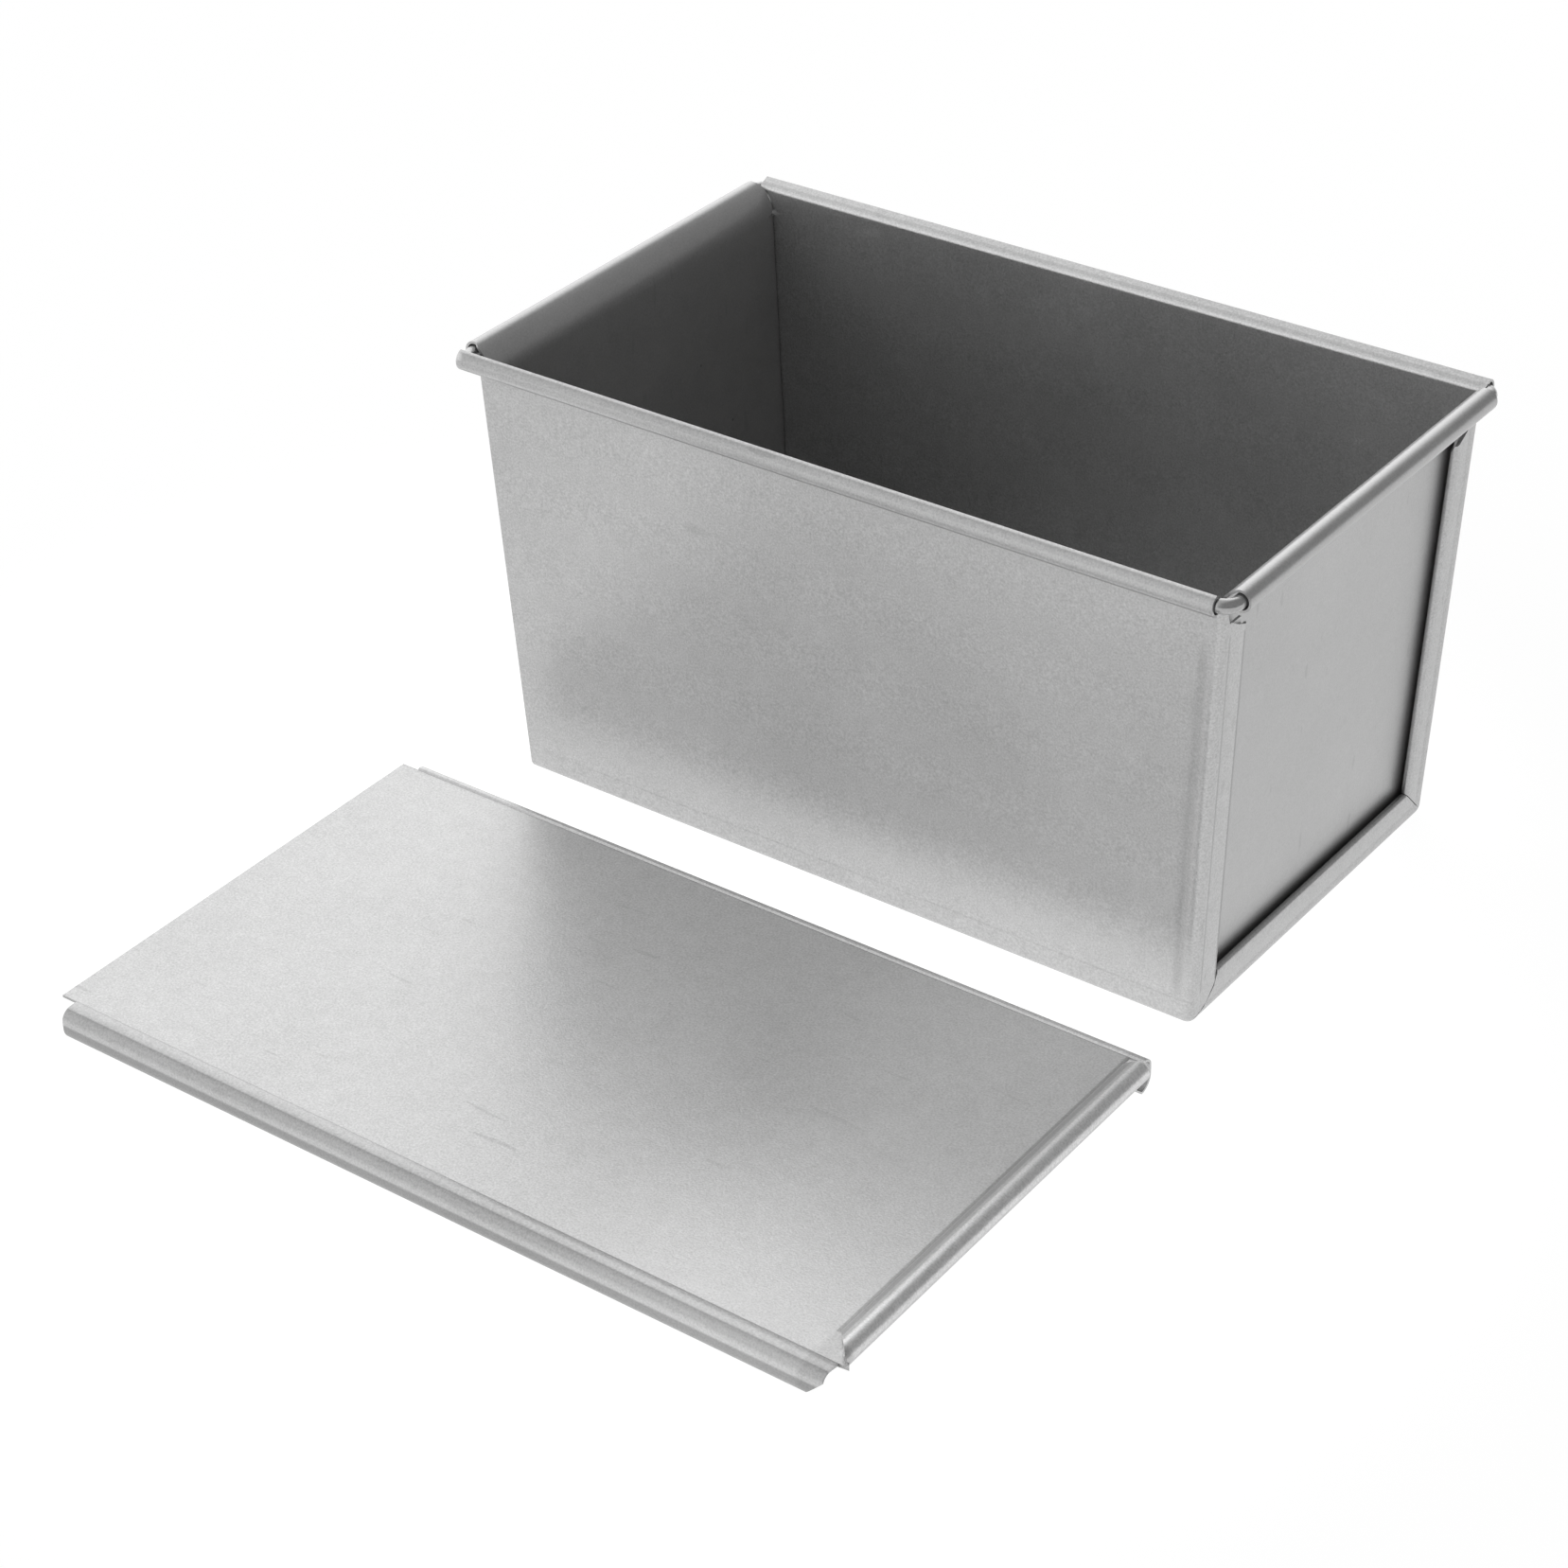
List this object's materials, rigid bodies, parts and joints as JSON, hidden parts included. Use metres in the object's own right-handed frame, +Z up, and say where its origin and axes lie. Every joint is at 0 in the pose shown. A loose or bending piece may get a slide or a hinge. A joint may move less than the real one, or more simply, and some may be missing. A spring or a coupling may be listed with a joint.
{
  "type": "pullman loaf pan",
  "caption": "Deep straight-sided loaf pan of folded sheet steel with a wired rim, and the flat sliding lid that hooks over its long sides, taken off and lying beside it.",
  "frame": {"origin": "middle of the underside of the pan's base, on the table", "axes": "+X along the pan towards the lid's curled end, +Y across the pan away from the lid on the table, +Z up"},
  "size_m": [0.2197, 0.262, 0.1157],
  "materials": {
    "body_steel": "satin, finely grained coating",
    "end_plate_steel": "satin, finely grained coating",
    "wire_steel": "drawn wire, dull",
    "lid_steel": "satin, finely grained coating"
  },
  "bodies": {
    "pan": {"body_sheet": "body_steel", "end_plate_left": "end_plate_steel", "end_plate_right": "end_plate_steel", "rim_wire": "wire_steel"},
    "lid": {"sliding_lid": "lid_steel"}
  },
  "joints": [
    {"name": "lid_slide", "type": "slide", "parent": "pan", "child": "lid", "axis": [1, 0, 0], "range_m": [0, 0.216]}
  ]
}
